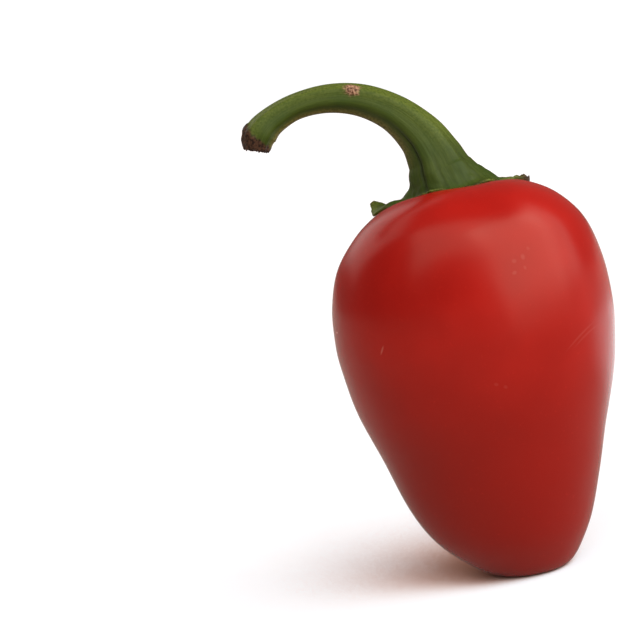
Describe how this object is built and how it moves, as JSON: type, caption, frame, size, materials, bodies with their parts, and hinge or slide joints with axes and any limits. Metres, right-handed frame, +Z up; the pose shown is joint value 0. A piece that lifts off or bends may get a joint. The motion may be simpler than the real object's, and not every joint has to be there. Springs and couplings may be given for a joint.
{
  "type": "heart-shaped pepper",
  "caption": "Ripe red heart-shaped pepper with broad lobed shoulders, a blunt tip and a hooked green stem on a toothed calyx, standing on a small flat spot.",
  "frame": {"origin": "centre of the flat spot that the fruit stands on, at its blossom end", "axes": "+Z up from the flat spot to the stem, the stem hooks over towards -X, -Y is the front"},
  "size_m": [0.0589, 0.0479, 0.0913],
  "materials": {
    "red_skin": "waxy gloss",
    "green_stem": "satin, ribbed along the stem"
  },
  "bodies": {
    "root": {"fruit": "red_skin", "stem_and_calyx": "green_stem"}
  },
  "joints": []
}
